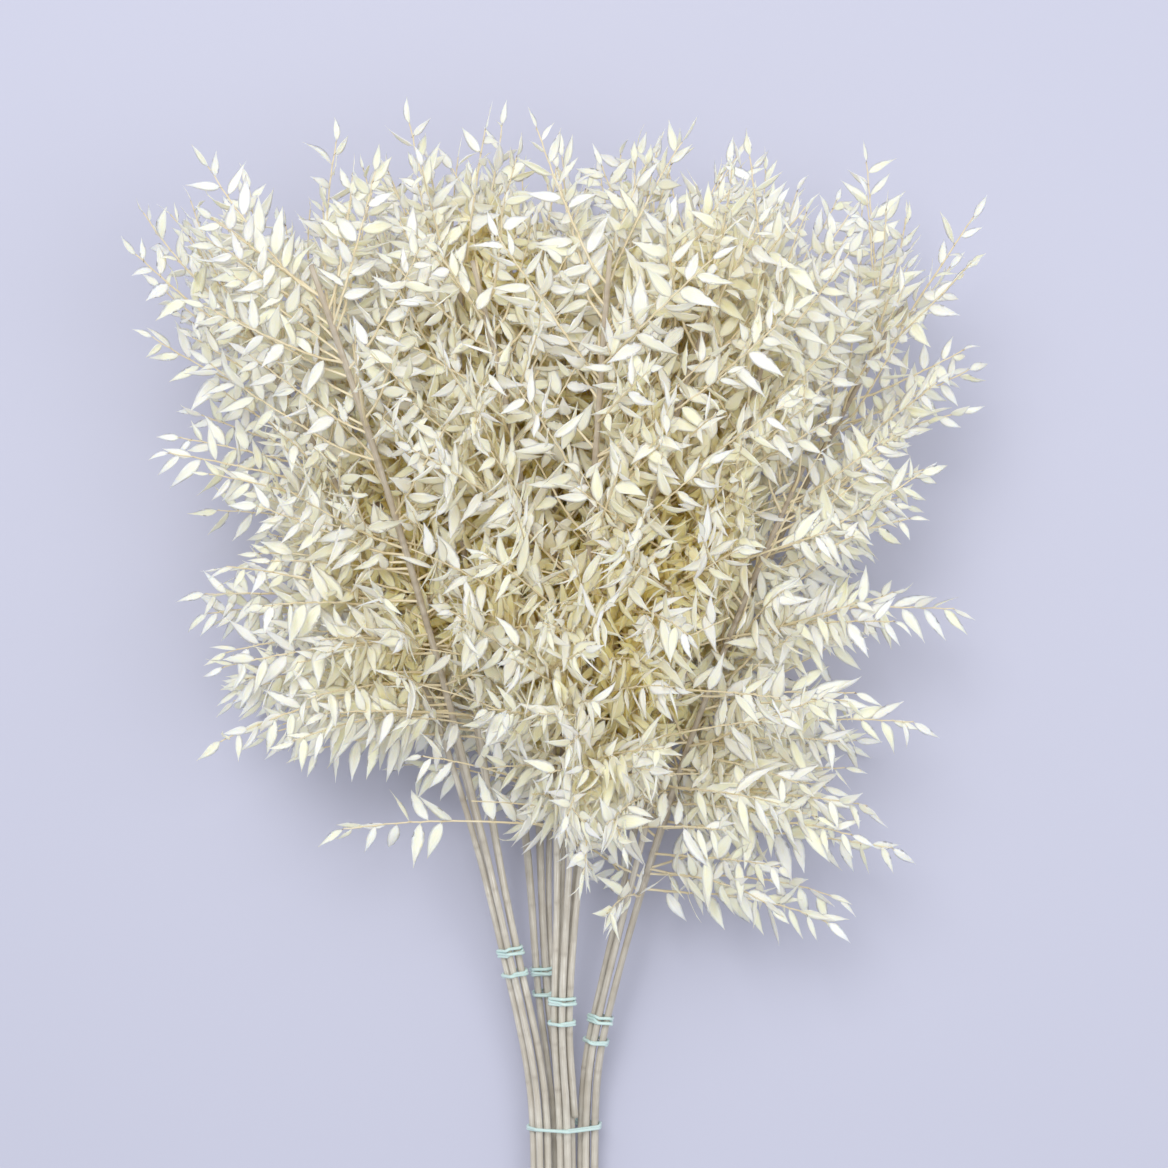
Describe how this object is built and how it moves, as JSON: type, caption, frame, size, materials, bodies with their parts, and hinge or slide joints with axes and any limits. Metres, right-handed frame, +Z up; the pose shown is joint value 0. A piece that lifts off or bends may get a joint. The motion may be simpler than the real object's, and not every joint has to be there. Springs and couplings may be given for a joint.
{
  "type": "bundle of dried ruscus",
  "caption": "Dried, bleached ruscus stems lying in a tied bundle, with leafy side branches fanning out from elastic bands near the cut ends.",
  "frame": {"origin": "centre of the bottom of the bundle's box, on the surface it lies on", "axes": "+Y along the bundle from the cut ends to the leafy tips, +X across the head, +Z up from the surface"},
  "size_m": [0.5494, 0.7394, 0.2704],
  "materials": {
    "stem": "matte",
    "leaf": "satin",
    "band": "satin"
  },
  "bodies": {
    "root": {"stem_a1": "stem", "stem_a2": "stem", "stem_a3": "stem", "stem_a4": "stem", "stem_a5": "stem", "stem_b1": "stem", "stem_b2": "stem", "stem_b3": "stem", "stem_b4": "stem", "stem_b5": "stem", "stem_c1": "stem", "stem_c2": "stem", "stem_c3": "stem", "stem_c4": "stem", "stem_c5": "stem", "stem_d1": "stem", "stem_d2": "stem", "stem_d3": "stem", "stem_d4": "stem", "stem_d5": "stem", "foliage_a1": "leaf", "foliage_a2": "leaf", "foliage_a3": "leaf", "foliage_a4": "leaf", "foliage_a5": "leaf", "foliage_b1": "leaf", "foliage_b2": "leaf", "foliage_b3": "leaf", "foliage_b4": "leaf", "foliage_b5": "leaf", "foliage_c1": "leaf", "foliage_c2": "leaf", "foliage_c3": "leaf", "foliage_c4": "leaf", "foliage_c5": "leaf", "foliage_d1": "leaf", "foliage_d2": "leaf", "foliage_d3": "leaf", "foliage_d4": "leaf", "foliage_d5": "leaf", "band_a_upper": "band", "band_a_lower": "band", "band_b_upper": "band", "band_b_lower": "band", "band_c_upper": "band", "band_c_lower": "band", "band_d_upper": "band", "band_d_lower": "band", "main_band": "band"}
  },
  "joints": []
}
